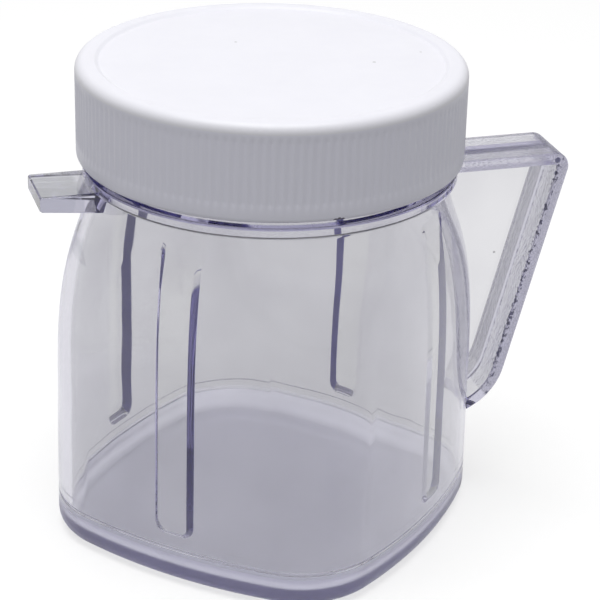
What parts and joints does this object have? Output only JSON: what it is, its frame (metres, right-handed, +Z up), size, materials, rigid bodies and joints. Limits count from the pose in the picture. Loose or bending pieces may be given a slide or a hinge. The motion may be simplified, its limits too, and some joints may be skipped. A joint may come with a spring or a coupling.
{
  "type": "blender jar",
  "caption": "Small clear blender jar: rounded-square body with a shallow flute inside each wall, round threaded neck, flanged web handle and corner tab, closed by a white ribbed screw cap.",
  "frame": {"origin": "centre of the jar's flat underside, on the neck's axis", "axes": "+Z up along the neck's axis, +X towards the handle, -X towards the tab"},
  "size_m": [0.1067, 0.0856, 0.0966],
  "materials": {
    "clear_plastic": "clear polished moulding with a faint violet tint",
    "white_plastic": "opaque white, satin",
    "liner_foam": "pressed white foam disc"
  },
  "bodies": {
    "jar": {"jar_body": "clear_plastic", "jar_base": "clear_plastic"},
    "liner": {"lid_liner": "liner_foam"},
    "lid": {"lid": "white_plastic"}
  },
  "joints": [
    {"name": "lid_lift", "type": "slide", "parent": "jar", "child": "liner", "axis": [0, 0, 1], "range_m": [0, 0.0191]},
    {"name": "lid_turn", "type": "hinge", "parent": "liner", "child": "lid", "pos_m": [0, 0, 0.0945], "axis": [0, 0, 1], "range_deg": [0, 1350]}
  ],
  "couplings": [
    {"joint": "lid_lift", "follows": "lid_turn", "m_per_rad": 0.00080851}
  ]
}
